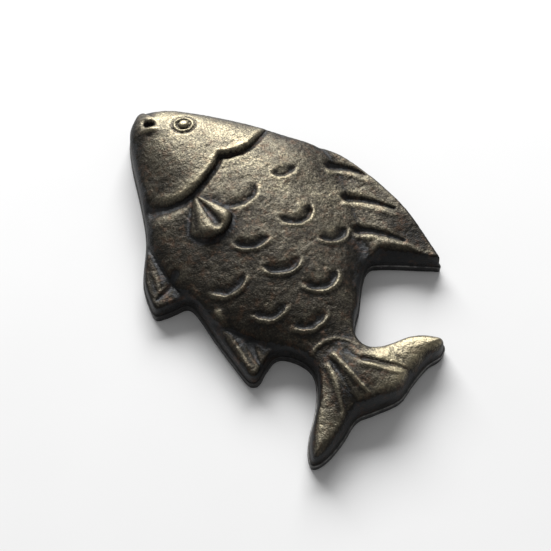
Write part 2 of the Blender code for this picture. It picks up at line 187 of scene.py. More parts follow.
def trace(places, line, closed=False):
    """For each place, the share of the line's length at its nearest point, and the signed
    distance from it, positive to the left of the line's direction."""
    line = np.asarray(line, float)
    if closed:
        line = np.vstack([line, line[:1]])
    start = line[:-1]
    run = np.diff(line, axis=0)
    length = np.hypot(run[:, 0], run[:, 1])
    before = np.concatenate([[0.0], np.cumsum(length)[:-1]])
    share = np.empty(len(places))
    offset = np.empty(len(places))
    for first in range(0, len(places), BATCH):
        gap = places[first:first + BATCH, None, :] - start[None]
        t = np.clip((gap * run).sum(2) / length ** 2, 0.0, 1.0)
        gap -= t[..., None] * run
        far = np.hypot(gap[..., 0], gap[..., 1])
        best = far.argmin(1)
        row = np.arange(len(best))
        side = run[best, 0] * gap[row, best, 1] - run[best, 1] * gap[row, best, 0]
        offset[first:first + BATCH] = np.where(side < 0.0, -1.0, 1.0) * far[row, best]
        share[first:first + BATCH] = (before[best] + t[row, best] * length[best]) / length.sum()
    return share, offset


def smooth_through(stations, values):
    """A function of x that passes smoothly through the values: a cubic between each pair of
    stations, with the slope at each station taken from its neighbours."""
    stations = np.array(stations, float)
    values = np.array(values, float)
    slopes = np.gradient(values, stations)

    def curve(x):
        held = np.clip(x, stations[0], stations[-1])
        left = np.clip(np.searchsorted(stations, held) - 1, 0, len(stations) - 2)
        span = stations[left + 1] - stations[left]
        t = (held - stations[left]) / span
        leave = (t ** 3 - 2 * t ** 2 + t) * span * slopes[left]
        arrive = (t ** 3 - t ** 2) * span * slopes[left + 1]
        return (
            (2 * t ** 3 - 3 * t ** 2 + 1) * values[left] + leave
            + (3 * t ** 2 - 2 * t ** 3) * values[left + 1] + arrive)

    return curve


to_outline = trace(np.zeros((1, 2)), plate_line, closed=True)[1][0]
print("the middle of the drawing lies", round(to_outline, 2), "from the outline")


# %% [markdown]
# Hand-cut features are never quite even. Value noise gives that unevenness: random numbers on a
# lattice, blended smoothly in between. Every use names its own seed, so the same skin comes out
# each time.

# %% Value noise
def value_noise(places, size, seed):
    """Smooth noise from -1 to 1 whose lumps are about `size` millimetres across: each place
    takes the eased mixture of the random numbers at its cell's four corners."""
    table = np.random.default_rng(seed).uniform(-1.0, 1.0, (256, 256))
    scaled = places / size + 300.0
    cell = np.floor(scaled).astype(int)
    part_x, part_y = ease(scaled - cell).T
    left, low = (cell % 256).T
    right, high = ((cell + 1) % 256).T
    near = table[left, low] * (1 - part_x) + table[right, low] * part_x
    far = table[left, high] * (1 - part_x) + table[right, high] * part_x
    return near * (1 - part_y) + far * part_y


sample = value_noise(evenly(plate_line, 2.0), 2.6, 1)
print("noise along the outline from", sample.min(), "to", sample.max())


# %% [markdown]
# ## Body, head and gill cover
#
# On the real fish the body swells from the fins' web as one smooth cushion. A stretched ball
# would be round in every section, and this cushion is not. So the body is a crown between an
# upper and a lower edge: across it the height is one minus the square of the way out from the
# middle line, raised to a power. A small power makes a broad back that drops steeply at its edge;
# a power near one makes the long even slope of the throat.
# The head stands above the body by a step that follows the gill cover's two-lobed edge, and a
# soft valley runs along the foot of the step.

# %% Body and head
RIM = 5.2                      # where the side wall ends and the relief begins
BODY_RISE = 7.0
HEAD_STEP = 1.5
STATIONS = (-51.5, -48.0, -40.0, -30.0, -20.0, -10.0, 0.0, 10.0, 20.0, 28.0, 34.0)   # along x
body_top = smooth_through(
    STATIONS, (-0.6, 5.2, 12.4, 19.4, 25.2, 28.4, 25.2, 20.6, 14.4, 6.8, 1.5))
body_bottom = smooth_through(
    STATIONS, (-1.2, -7.0, -12.4, -17.8, -22.4, -25.2, -25.8, -24.8, -20.5, -16.0, -13.5))
body_swell = smooth_through(
    STATIONS, (0.12, 0.50, 0.84, 0.97, 1.0, 1.0, 0.97, 0.87, 0.7, 0.50, 0.28))
GILL_EDGE = (                  # from the nape down to the throat
    (-24.0, 21.0), (-23.0, 18.4), (-22.2, 16.0), (-21.2, 13.2), (-21.3, 9.9), (-22.3, 6.8),
    (-23.5, 4.6), (-21.9, 2.2), (-20.8, -0.8), (-19.9, -3.9), (-19.3, -7.3), (-19.6, -10.6),
    (-21.2, -14.0), (-24.0, -16.8), (-27.5, -19.0),
)


def higher_of(first, second, blend):
    """The greater of two heights, with the crease between them rounded over `blend`."""
    return 0.5 * (first + second + np.sqrt((first - second) ** 2 + blend ** 2))


def crown(places):
    """The body's rise above its rim, in shares of its full height: the swell at this x, times
    a power of one less the square of the way across."""
    x, y = places.T
    top = body_top(x)
    bottom = body_bottom(x)
    across = (y - 0.5 * (top + bottom)) / np.maximum(0.5 * (top - bottom), 0.5)
    throat = ease((-18.0 - x) / 9.0)
    shoulder = ease((x + 16.0) / 14.0)
    power = np.where(across < 0.0, 0.60 + 0.40 * throat, 0.52 + 0.40 * shoulder)
    return body_swell(x) * np.clip(1.0 - across ** 2, 0.0, 1.0) ** power


def gill_cover(places, share):
    """A rounded step along the gill cover's edge, and a valley along its foot that is narrow
    above and widens towards the throat."""
    along, offset = trace(places, GILL_EDGE)
    head = -offset             # the head lies to the right of the line, which runs downwards
    wide = 1.0 + 2.2 * ease((along - 0.5) / 0.5)
    shoulder = np.clip(head / (1.3 * wide), 0.0, 1.0)
    step = np.sqrt(np.clip(1.0 - (1.0 - shoulder) ** 2, 0.0, 1.0))
    low = ease((-3.0 - places[:, 1]) / 9.0)
    fade = (1.0 - 0.45 * ease((head - 6.0) / 22.0)) * (0.85 - 0.30 * low)
    valley = (0.45 + 0.55 * low) * bump((head + 0.4) / (0.7 * wide))
    near_edge = np.where(places[:, 1] > 0.0, ease((share - 0.35) / 0.5), ease((share - 0.02) / 0.35))
    return (HEAD_STEP * step * fade * (head > 0.0) - valley) * near_edge


print("body", BODY_RISE, "above its rim, head", HEAD_STEP, "above the body")

# %% [markdown]
# ## Face
#
# The mouth is a short oval pit between two lips at the very tip, and the eye is a boss inside
# a raised ring. They could be carved as meshes of their own, but the real ones are part of the
# casting, so both are bells and rings of height, measured from one centre each.

# %% Mouth and eye
EYE = np.array((-37.2, 4.1))
MOUTH = np.array((-44.0, -2.1))
ACROSS_FACE = math.radians(49.0)   # the mouth's long axis, against X


def eye_relief(places):
    """A boss, a moat, a low ring and a faint outer moat, by distance from the centre."""
    far = np.hypot(*(places - EYE).T)
    boss = 0.6 * np.sqrt(np.clip(1.0 - (far / 1.4) ** 4, 0.0, 1.0))
    return (
        boss - 0.42 * bump((far - 1.65) / 0.5) + 0.26 * bump((far - 2.35) / 0.5)
        - 0.34 * bump((far - 3.0) / 0.45))


def mouth_relief(places):
    """An oval pit with a ragged edge, between a knob of an upper lip and a broad lower one: four
    bells, each longer along the mouth or across it."""
    gap = places - MOUTH
    along = gap[:, 0] * math.cos(ACROSS_FACE) + gap[:, 1] * math.sin(ACROSS_FACE)
    across = -gap[:, 0] * math.sin(ACROSS_FACE) + gap[:, 1] * math.cos(ACROSS_FACE)
    ragged = 1.0 + 0.16 * value_noise(places, 0.8, 8)
    pit = 1.5 * bump(np.hypot(along / 1.35, across / 0.85) ** 1.5 * ragged)
    upper = 0.35 * bump(np.hypot((along + 2.2) / 1.1, (across + 0.3) / 1.1))
    brow = 0.3 * bump(np.hypot((along + 0.2) / 2.4, (across - 2.0) / 0.9))
    lower = 0.8 * bump(np.hypot((along - 0.2) / 2.2, (across + 2.2) / 0.8))
    return upper + brow + lower - pit


print("eye at", EYE, "mouth at", MOUTH)

# %% [markdown]
# ## Scales
#
# The scales were cut into the pattern with a gouge, ten of them, well apart. Separate shells
# laid on the body would show joints that a casting doesn't have, so each scale is a hollow in the
# height: the surface sinks gently towards the scale's free edge and then climbs back steeply to
# a thin raised rim, and that crescent catches the light. The depth depends on the distance from
# the scale's centre, and fades out at both ends of its arc.

# %% Scales
SCALES = (      # centre x, y, radius, middle and half span in degrees, depth, rim height
    (-12.9, 15.3, 3.8, -15, 64, 0.55, 0.08), (-15.0, 1.4, 6.1, 0, 62, 0.65, 0.08),
    (-0.5, 8.9, 4.3, -8, 84, 0.80, 0.18), (8.5, 12.8, 4.1, -8, 72, 0.75, 0.32),
    (-2.3, -3.5, 4.9, -30, 62, 0.90, 0.40), (7.5, -2.5, 4.8, -24, 70, 0.80, 0.42),
    (16.7, 1.7, 4.5, -14, 80, 0.65, 0.42), (2.7, -15.8, 4.8, -18, 70, 0.50, 0.42),
    (14.8, -12.2, 4.3, -28, 68, 0.50, 0.42), (22.0, -7.1, 4.7, -18, 64, 0.50, 0.42),
)
SCALE_RUN = 2.7                # over which the surface sinks
SCALE_WALL = 1.25              # over which it climbs back
SCALE_ENDS = 34.0              # degrees over which an arc fades out at either end
SCALE_WAVER = 0.18             # how far the edge wavers
RIM_OUTSIDE = 1.15             # the rim's crest, outside the scale's edge
RIM_WIDTH = 0.65


def scale_relief(places):
    """The deepest of all the gouges at each place, and their low raised rims."""
    sunk = np.zeros(len(places))
    rim = np.zeros(len(places))
    uneven = value_noise(places, 1.5, 7)
    for centre_x, centre_y, radius, middle, half_span, depth, rim_height in SCALES:
        gap_x = places[:, 0] - centre_x
        gap_y = places[:, 1] - centre_y
        inside = radius - np.hypot(gap_x, gap_y) + SCALE_WAVER * uneven
        turn = np.degrees(np.arctan2(gap_y, gap_x)) - middle
        turn = np.abs((turn + 180.0) % 360.0 - 180.0)
        ends = ease((half_span - turn) / SCALE_ENDS) * (1.0 + 0.25 * uneven)
        slope = np.clip(1.0 - inside / SCALE_RUN, 0.0, 1.0) ** 1.5
        wall = 1.0 - ease(-inside / SCALE_WALL)
        sunk = np.maximum(sunk, depth * ends * np.where(inside > 0.0, slope, wall))
        rim = np.maximum(rim, rim_height * ends * bump((inside + RIM_OUTSIDE) / RIM_WIDTH))
    return rim - sunk


print(len(SCALES), "scales, the deepest", max(scale[5] for scale in SCALES))

# %% [markdown]
# ## Fins and tail
#
# The fins are webs at the height of the rim. Rays are ridges or grooves along short lines, wide
# at the root and fading out towards the edge: a bell across the line. The dorsal fin's three
# grooves have a steep upper bank and a low ridge under them.

# %% Ridges and grooves
def ray(places, line, width, height, tail=0.35, lean=1.0):
    """A ridge (or a groove, if height is negative) along a line. It narrows to the share
    `tail` of its width at the end, and its right flank is `lean` times as wide as its left."""
    share, offset = trace(places, line)
    wide = width * (1.0 - (1.0 - tail) * share) * np.where(offset < 0.0, lean, 1.0)
    return height * (1.0 - 0.5 * share) * bump(offset / wide)


GROOVE_DEPTH = 1.05
GROOVE_WIDTH = 1.15
BELOW_GROOVE = (1.5, -1.3)     # from a groove to the ridge under it
DORSAL_GROOVES = (
    ((-5.4, 26.2), (-3.6, 28.2), (-1.2, 30.0), (2.4, 31.6)),
    ((4.4, 22.9), (7.0, 25.4), (10.2, 27.6), (14.6, 29.9)),
    ((13.4, 18.7), (16.0, 21.2), (19.3, 23.4), (23.0, 25.4)),
)
TAIL_ARCH = ((31.6, -13.6), (31.2, -11.6), (31.3, -9.1), (32.4, -6.4), (34.6, -4.6), (36.8, -3.6))
TAIL_RAYS = (                  # line, half width, height
    (((35.4, -9.8), (39.7, -10.0), (43.4, -10.3), (46.6, -10.3), (49.6, -10.3)), 0.9, 0.75),
    (((36.6, -12.6), (40.8, -14.1), (43.8, -15.8), (46.8, -17.4), (48.8, -19.0)), 0.9, 0.5),
    (((41.0, -5.2), (44.0, -2.9), (46.4, -1.0), (48.8, 0.8)), 0.9, -0.7),
    (((41.6, -6.2), (45.4, -4.0), (47.8, -2.4), (49.4, -0.6)), 0.9, 0.45),
    (((36.6, -6.8), (38.6, -6.4), (41.2, -5.4)), 0.8, -0.3),
    (((37.2, -11.4), (41.0, -12.2), (44.4, -13.0)), 0.9, -0.3),
)
BELLY_RAYS = (
    (((9.4, -23.4), (13.4, -24.3), (17.8, -24.7), (23.9, -25.8)), 1.4, 0.7),
    (((19.0, -21.6), (22.4, -22.9), (25.6, -23.6)), 1.0, -0.6),
    (((-14.6, -25.2), (-11.6, -26.4), (-8.4, -27.8), (-5.4, -29.4)), 1.6, 0.6),
    (((-6.2, -24.0), (-4.8, -27.0), (-4.3, -31.0)), 1.1, -0.8),
)


def fin_relief(places):
    """All the rays of the dorsal, belly and tail fins."""
    height = np.zeros(len(places))
    for line in DORSAL_GROOVES:
        height += ray(places, line, GROOVE_WIDTH, -GROOVE_DEPTH, tail=0.3, lean=0.8)
        height += ray(places, np.add(line, BELOW_GROOVE), 1.1, 0.34, tail=0.6)
    for line, width, rise in TAIL_RAYS + BELLY_RAYS:
        height += ray(places, line, width, rise)
    height += ray(places, TAIL_ARCH, 0.5, 0.35, tail=0.9)
    return height


print(len(DORSAL_GROOVES), "dorsal grooves,", len(TAIL_RAYS + BELLY_RAYS), "rays")

# %% [markdown]
# The small breast fin stands proud of the flank like a half-open fan, so it is easiest to
# describe as seen from its root, by distance and direction. Its height grows with the distance
# and ends in a rounded bluff. Its upper side drops steeply and its lower side slopes away, and
# one deep furrow runs between two ridges.

# %% Breast fin
FAN_ROOT = np.array((-18.9, -7.5))
FAN_MIDDLE = math.radians(-13.0)   # the direction in which the fan opens
FAN_HALF_ANGLE = math.radians(32.0)
FAN_REACH = 13.8
FAN_RISE = 3.0
FAN_BLUFF = 3.6                # the length of its rounded end
FAN_CREST = 0.2                # where it is highest, in half angles from the middle
FURROW_DEPTH = 1.25


def breast_fin(places):
    """The fan's height: the distance from the root sets the rise and the bluff at the end, and
    the direction, in half angles from the middle, sets the sides and the furrows."""
    gap = places - FAN_ROOT
    far = np.hypot(*gap.T)
    turn = (np.arctan2(gap[:, 1], gap[:, 0]) - FAN_MIDDLE) / FAN_HALF_ANGLE
    reach = FAN_REACH * (1.0 - 0.20 * turn ** 2)
    rise = FAN_RISE * np.clip(far / reach, 0.0, 1.0) ** 0.75
    ending = np.clip((far - reach + FAN_BLUFF) / FAN_BLUFF, 0.0, 1.0)
    bluff = np.sqrt(np.clip(1.0 - ending ** 2.6, 0.0, 1.0))
    above = np.clip((turn - FAN_CREST) / (1.0 - FAN_CREST), 0.0, 1.0)
    below = np.clip((FAN_CREST - turn) / (1.0 + FAN_CREST), 0.0, 1.0)
    side = np.sqrt(1.0 - above ** 3.5) * (1.0 - below ** 2.2) ** 0.7
    depth = FURROW_DEPTH * np.clip(far / reach, 0.0, 1.0) ** 0.6 * ease((reach - far + 0.5) / 3.0)
    furrow = bump((turn - FAN_CREST) / 0.25) + 0.25 * bump((turn + 0.70) / 0.16)
    height = rise * bluff * side - depth * furrow * bluff * (np.abs(turn) < 1.0)
    return np.where(far > 0.6, np.maximum(height, 0.0), 0.0)


print("fan from", FAN_ROOT, "reaching", FAN_REACH)

# %% [markdown]
# ## The whole face of the fish
#
# The pieces are added up. The belly fins slope down towards their edge, and the dorsal fin
# towards its rear tip. The tail's lobes swell like pillows, by their distance from the edge. A
# rib runs behind the dorsal fin, and from it the casting slopes down to the lip like a wedge, so
# that the lip can reach under a cap. Every other edge rolls over into the side wall, over the
# last millimetre or two.

# %% One height for every place
LIP_RIB_BACK = 3.5             # from the lip to the rib's crest
LIP_RIB_RISE = 0.4
LIP_LENGTH = float(np.linalg.norm(LIP_TIP - LIP_ROOT))
WEDGE_RISE = 4.6               # over the whole way from the lip to the rib's crest
LOBE_PILLOW = 4.8              # distance from the edge at which a tail lobe is full


def wedge_to_lip(places, height):
    """The rib, and the slope that holds the height down between it and the lip. Both narrow
    towards the dorsal fin's tip, and the slope lets go beside the lip's root."""
    run = (LIP_TIP - LIP_ROOT) / LIP_LENGTH
    gap = places - LIP_ROOT
    along = gap @ run
    back = gap[:, 1] * run[0] - gap[:, 0] * run[1]
    beside = ease((along + 2.8) / 4.2)
    left = 1.0 - ease((along - 0.5 * LIP_LENGTH) / (0.5 * LIP_LENGTH))
    crest = LIP_RIB_BACK * (0.22 + 0.78 * left)
    rib = LIP_RIB_RISE * left * bump((back - crest) / 1.3) * beside
    slope = LAND + 0.6 + WEDGE_RISE * np.maximum(back / crest - 0.16, 0.0)
    slope += 7.0 * (1.0 - beside)
    slope += 12.0 * (ease((-2.8 - along) / 1.7) + ease((-0.3 - back) / 1.7))
    near = (back > -2.0) & (back < 8.0) & (along > -4.5)
    held = -higher_of(-(height + rib), -slope, 0.7)
    return np.where(near, held, height)


def face_height(places, edge):
    """Height of the relief at each place, `edge` being its distance from the outline."""
    x, y = places.T
    share = crown(places)

    # the web of the fins: thick at the tail's root, low at the dorsal tip and the belly's edge
    web = RIM + 1.6 * (ease((x - 26.0) / 8.0) - ease((x - 34.0) / 16.0))
    web += 0.3 * ease((y - 16.0) / 6.0)
    web -= 2.3 * (1.0 - ease(np.hypot(*(places - LIP_TIP).T) / 17.0))
    belly_side = ease((-17.0 - y) / 6.0) * (1.0 - ease((x - 27.0) / 3.0))
    web -= 1.5 * (1.0 - ease(edge / 7.0)) * belly_side

    # the body on it, with everything that is cut into it or stands on it
    height = higher_of(RIM + BODY_RISE * share, web, 1.6 + 1.4 * ease((y - 14.0) / 6.0))
    height += gill_cover(places, share)
    height += eye_relief(places) + mouth_relief(places)
    height += scale_relief(places) + fin_relief(places)
    height = np.maximum(height, RIM - 1.2)
    height += breast_fin(places)
    lobe = np.clip(edge / LOBE_PILLOW, 0.0, 1.0)
    fullness = (1.8 - 0.5 * ease((-13.0 - y) / 5.0)) * ease((x - 32.0) / 12.0)
    height += fullness * np.sqrt(1.0 - (1.0 - lobe) ** 2)
    height = wedge_to_lip(places, height)

    # the edge rolls over along a quarter of an ellipse, widest behind the tail
    behind = ease((x - 43.0) / 4.0)
    roll = 1.1 + 1.0 * behind
    drop = 1.1 + 1.2 * behind
    turn = np.clip(edge / roll, 0.0, 1.0)
    rolled = drop * (1.0 - np.sqrt(np.clip(1.0 - (1.0 - turn) ** 2, 0.0, 1.0)))
    return np.maximum(height - rolled, LAND + 0.4)


print("lip", round(LIP_LENGTH, 2), "long")

# %% [markdown]
# ## Cast skin
#
# Sand leaves a skin of lumps and small pits: broad lumps first, then finer and weaker layers of
# the same value noise added on top. A bump in the finish alone would vanish at the silhouette,
# so the lumps are real height.

# %% Skin
def cast_skin(places):
    """Broad lumps, finer grain and scattered pits, in millimetres of height."""
    lumps = 0.07 * value_noise(places, 2.6, 1) + 0.04 * value_noise(places, 1.2, 2)
    grain = 0.06 * value_noise(places, 0.66, 3)
    pits = -0.14 * np.clip(value_noise(places, 0.9, 4) - 0.55, 0.0, 1.0) / 0.45
    return lumps + grain + pits


skin = cast_skin(plate_line)
print("skin along the outline from", skin.min(), "to", skin.max())

# %% [markdown]
# ## From a height to a mesh
#
# A plain grid would leave a ragged edge. Here the points are the outline itself, a few rings
# just inside it where the edge rolls over, and a lattice of points inside. A Delaunay
# triangulation joins them, and the outline is kept as its border. The lattice is fine enough
# for the thin rims of the scales to be real height.

# %% Points on the plan, and their triangles
def inside_line(places, line):
    """True for the places inside a closed line: a ray to the right crosses it an odd number
    of times."""
    start = line
    end = np.roll(line, -1, axis=0)
    found = np.empty(len(places), bool)
    for first in range(0, len(places), BATCH):
        x = places[first:first + BATCH, 0, None]
        y = places[first:first + BATCH, 1, None]
        spans = (start[:, 1] > y) != (end[:, 1] > y)
        rise = np.where(end[:, 1] == start[:, 1], 1.0, end[:, 1] - start[:, 1])
        cross = start[:, 0] + (y - start[:, 1]) / rise * (end[:, 0] - start[:, 0])
        found[first:first + BATCH] = (spans & (cross > x)).sum(1) % 2 == 1
    return found


def lattice(line, pitch, margin):
    """Points on a triangular lattice that lie inside the line by more than the margin."""
    low = line.min(0)
    high = line.max(0)
    row = pitch * math.sqrt(3.0) / 2.0
    xs = np.arange(low[0], high[0], pitch)
    ys = np.arange(low[1], high[1], row)
    grid_x, grid_y = np.meshgrid(xs, ys)
    grid_x = grid_x + 0.5 * pitch * (np.arange(len(ys)) % 2)[:, None]
    places = np.column_stack([grid_x.ravel(), grid_y.ravel()])
    places = places[inside_line(places, line)]
    return places[np.abs(trace(places, line, closed=True)[1]) > margin]


def rings_inside(line, depths):
    """Copies of the closed line at the given depths, without the points that crossed over."""
    kept = []
    for depth in depths:
        ring = line + depth * inward(line)
        far = np.abs(trace(ring, line, closed=True)[1])
        kept.append(ring[far > 0.96 * depth])
    return np.vstack(kept)


def triangles(line, others):
    """Triangles that join the closed line and the other points, and fill its inside."""
    points = [Vector(place) for place in np.vstack([line, others]).tolist()]
    made = delaunay_2d_cdt(points, [], [list(range(len(line)))], 1, 1e-7)
    return np.array(made[2])


def strips(start, count, loops):
    """Quads between closed loops of `count` points each, numbered one after another."""
    here = np.arange(count)
    after = (here + 1) % count
    base = start + np.arange(loops - 1)[:, None] * count
    corners = (base + here, base + after, base + count + after, base + count + here)
    return np.stack(corners, axis=-1).reshape(-1, 4)


def build_mesh(name, points, faces, attributes=()):
    """A smooth-shaded mesh object at the origin, from points in millimetres. Each attribute is
    a name and one value for each point."""
    mesh = bpy.data.meshes.new(name)
    placed = (np.asarray(points) - (*DRAWN_MIDDLE, 0.0)) * MM
    mesh.from_pydata(placed.tolist(), [], faces)
    mesh.validate()
    mesh.shade_smooth()
    for label, values in attributes:
        layer = mesh.attributes.new(label, "FLOAT", "POINT")
        layer.data.foreach_set("value", np.asarray(values, np.float32))
    piece = bpy.data.objects.new(name, mesh)
    bpy.context.scene.collection.objects.link(piece)
    return piece


# %% The front of the casting
PITCH = 0.32                   # between the points inside
RING_DEPTHS = (0.08, 0.22, 0.42, 0.68, 1.0, 1.35)
rings = rings_inside(brow_line, RING_DEPTHS)
front_plan = np.vstack([brow_line, rings, lattice(brow_line, PITCH, RING_DEPTHS[-1] + 0.2)])
front_faces = triangles(brow_line, front_plan[len(brow_line):])
front_edge = np.abs(trace(front_plan, brow_line, closed=True)[1])
front_edge[:len(brow_line)] = 0.0
front_z = face_height(front_plan, front_edge) + cast_skin(front_plan)
print("front", len(front_plan), "points,", len(front_faces), "triangles, top", front_z.max())

# %% [markdown]
# ## The side wall and the hollow back
#
# The wall drops from the relief's border to the foot in a few loops, leaning out a little. The
# back is a flat land that faces the plate, with a hollow inside it, so that the wall stays
# about three millimetres thick. Left standing in the hollow are four bosses for the screws and
# a round pad over the magnet, and two pegs reach down into the plate to place the casting.
# All of that is one more height over the plan, like the face. Its upright steps come from pairs
# of rings that lie four hundredths of a millimetre apart.

# %% Places of the screws, pegs and magnet, read from the frame
def middle_of(name):
    """Where the drawing has a part's middle, and the part's lowest and highest height."""
    low, high = node_box(name)
    return 0.5 * (low[:2] + high[:2]) + DRAWN_MIDDLE, low[2], high[2]


SCREWS = [f"plate_screw_{number}" for number in (1, 2, 3, 4)]
screw_places = [middle_of(name)[0] for name in SCREWS]
magnet_place, magnet_low, magnet_top = middle_of("magnet_disc")
cup_place, cup_low, cup_top = middle_of("magnet_cup")
PEGS = np.array(((-45.0, -2.0), (42.5, -13.5)))
PEG_RADIUS = 1.5
SHANK_RADIUS = 1.5
BOSS_RADIUS = 3.8
SCREW_TOP = middle_of(SCREWS[0])[2]
CUP_WALL_RADIUS = 11.0         # outside of the magnet's cup
FLANGE_THICKNESS = 0.8
PAD_RADIUS = 13.9
PAD_HEIGHT = LAND + FLANGE_THICKNESS + GAP
HOLLOW_MIDDLE = -10.0          # along x
HOLLOW_HALF_LENGTH = 33.0
HOLLOW_INSET = 4.5             # from the body's edge
CEILING = 3.4                  # metal left above the hollow
print("screws at", screw_places, "magnet at", magnet_place)


def circle(centre, radius, count):
    """Points on a circle, anticlockwise."""
    turn = np.linspace(0.0, 2.0 * math.pi, count, endpoint=False)
    return centre + radius * np.column_stack([np.cos(turn), np.sin(turn)])


def back_height(places):
    """Height of the casting's back: the hollow's ceiling, which is the body's own crown drawn
    smaller, then everything that stands in the hollow."""
    x = places[:, 0]
    half = np.maximum(0.5 * (body_top(x) - body_bottom(x)) - HOLLOW_INSET, 0.01)
    across = (places[:, 1] - 0.5 * (body_top(x) + body_bottom(x))) / half
    ends = np.sqrt(np.clip(1.0 - ((x - HOLLOW_MIDDLE) / HOLLOW_HALF_LENGTH) ** 4, 0.0, 1.0))
    rise = RIM + BODY_RISE * body_swell(x) - CEILING - LAND
    height = LAND + rise * np.clip(1.0 - across ** 2, 0.0, 1.0) ** 0.65 * ends
    far = np.hypot(*(places - magnet_place).T)
    height = np.where(far < PAD_RADIUS, PAD_HEIGHT, height)
    height = np.where(far < CUP_WALL_RADIUS + GAP, cup_top + GAP, height)
    for place in screw_places:
        far = np.hypot(*(places - place).T)
        height = np.where(far < BOSS_RADIUS, LAND, height)
        height = np.where(far < SHANK_RADIUS + GAP, SCREW_TOP + GAP, height)
    for place in PEGS:
        height = np.where(np.hypot(*(places - place).T) < PEG_RADIUS, GAP, height)
    return height


# %% The back's points, and the loops of the side wall
STEP_HALF_WIDTH = 0.02         # of an upright step in the back, between its two rings
CLEAR_OF_STEP = 0.35           # no other points this close to a step
back_steps = [(magnet_place, PAD_RADIUS), (magnet_place, CUP_WALL_RADIUS + GAP)]
for place in screw_places:
    back_steps += [(place, BOSS_RADIUS), (place, SHANK_RADIUS + GAP)]
back_steps += [(place, PEG_RADIUS) for place in PEGS]
sill_line = foot_line + 0.3 * inward(foot_line)
field = lattice(sill_line, 1.1, 0.9)
for centre, radius in back_steps:
    field = field[np.abs(np.hypot(*(field - centre).T) - radius) > CLEAR_OF_STEP]
paired = [
    circle(centre, radius + side, max(24, int(radius * 7)))
    for centre, radius in back_steps for side in (-STEP_HALF_WIDTH, STEP_HALF_WIDTH)]
back_plan = np.vstack([sill_line, *paired, field])
back_faces = triangles(sill_line, back_plan[len(sill_line):])
back_points = np.column_stack([back_plan, back_height(back_plan)])

count = len(brow_line)
brow_z = front_z[:count]
wall_loops = [np.column_stack([brow_line, brow_z])]
for share in (0.12, 0.3, 0.5, 0.7, 0.88):
    plan = brow_line + share * (foot_line - brow_line)
    turned_plan = np.column_stack([plan.sum(1), plan[:, 0] - plan[:, 1] + 40.0 * share])
    grain = 0.06 * value_noise(turned_plan, 0.9, 5)
    plan = plan - grain[:, None] * inward(plan)
    wall_loops.append(np.column_stack([plan, brow_z + share * (WALL_FOOT - brow_z)]))
wall_loops.append(np.column_stack([foot_line, np.full(count, WALL_FOOT)]))
print("back", len(back_plan), "points,", len(wall_loops), "loops in the side wall")


# %% [markdown]
# The antique finish follows the relief: the casting is blackened all over, then rubbed, so that
# "Above its surroundings" is the height less the average height nearby, worked out by letting the
# heights flow into their neighbours many times. On top of that wear the finish carries painted light
# and shade. Steep slopes are painted darker and high places lighter. The head, the back and the
# tail's upper lobe are painted brighter, as if lit from above. The throat, the very edge of the
# nape, the root of the tail and the belly side are painted darker.

# %% What stands proud and what lies low
def relaxed(values, faces, rounds):
    """The values after each has moved towards its neighbours' average, `rounds` times."""
    here = faces.ravel()
    there = np.roll(faces, -1, axis=1).ravel()
    shared = np.bincount(here, minlength=len(values))
    for _ in range(rounds):
        around = np.bincount(here, weights=values[there], minlength=len(values))
        values = values + 0.7 * (around / shared - values)
    return values


def levelness(points, faces):
    """For each point the upright part of its unit normal: 1 where the surface is level."""
    corners = points[faces]
    across = np.cross(corners[:, 1] - corners[:, 0], corners[:, 2] - corners[:, 0])
    normal = np.zeros_like(points)
    for corner in range(3):
        np.add.at(normal, faces[:, corner], across)
    return normal[:, 2] / np.linalg.norm(normal, axis=1)


smooth_z = face_height(front_plan, front_edge)
near_z = relaxed(smooth_z, front_faces, 12)
wide_z = relaxed(near_z, front_faces, 90)
# how level the surface is; the finish uses it to paint the steep slopes darker, as painted shade
level = relaxed(levelness(np.column_stack([front_plan, near_z]), front_faces), front_faces, 6)
fine_relief = np.clip((smooth_z - near_z) / 0.08, -1.0, 1.0)
broad_relief = np.clip((near_z - wide_z) / 0.35, -1.0, 1.0)
proud = 0.70 * fine_relief + 0.55 * broad_relief
# how high the relief stands; the finish uses it to paint the high places lighter, as painted light
high_up = ease((front_z - RIM + 0.5) / 6.5)
print("proud from", proud.min(), "to", proud.max())


# %% Where the painted light and shade fall
def painted_light_and_shade(places, edge):
    """Painted light and shade at each place. Painted light rises evenly towards the back and the
    head and covers the tail's upper lobe, less a share of painted shade for each region left darker.
    Every region fades out softly."""
    x, y = places.T
    upper_lobe = ease((x - 34.0) / 8.0) * ease((y + 6.0) / 7.0)
    elsewhere = 1.0 - upper_lobe
    upward = ease((y + 14.0 - 0.40 * (x + 30.0)) / 26.0)
    rear = ease((x - 6.0) / 14.0)
    throat = 1.0 - ease((0.66 * x + 0.75 * y + 33.5) / 7.0)
    back_line = (1.0 - ease(edge / 8.0)) * ease((y - 4.0) / 5.0) * elsewhere
    belly = ease((2.0 - y + 0.35 * x) / 10.0) * ease((28.0 - x) / 6.0) * elsewhere
    nape = ease((x + 26.0) / 4.0) * (1.0 - ease((x + 8.0) / 10.0)) * ease((y - 10.0) / 8.0)
    tail_root = bump(np.hypot(x - 35.0, y + 8.0) / 7.5)
    painted_lit = np.maximum(upward * (1.0 - 0.85 * rear) * (1.0 - throat), 1.6 * upper_lobe)
    painted_shaded = 0.5 * throat + 0.75 * back_line + 0.35 * belly + 0.7 * nape + 0.15 * tail_root
    return painted_lit - painted_shaded


# painted light and shade: brighter on the head, the back and the tail's upper lobe, darker on the
# throat, the nape's edge, the tail's root and the belly side
painted_light = painted_light_and_shade(front_plan, front_edge)
print("handled from", painted_light.min(), "to", painted_light.max())
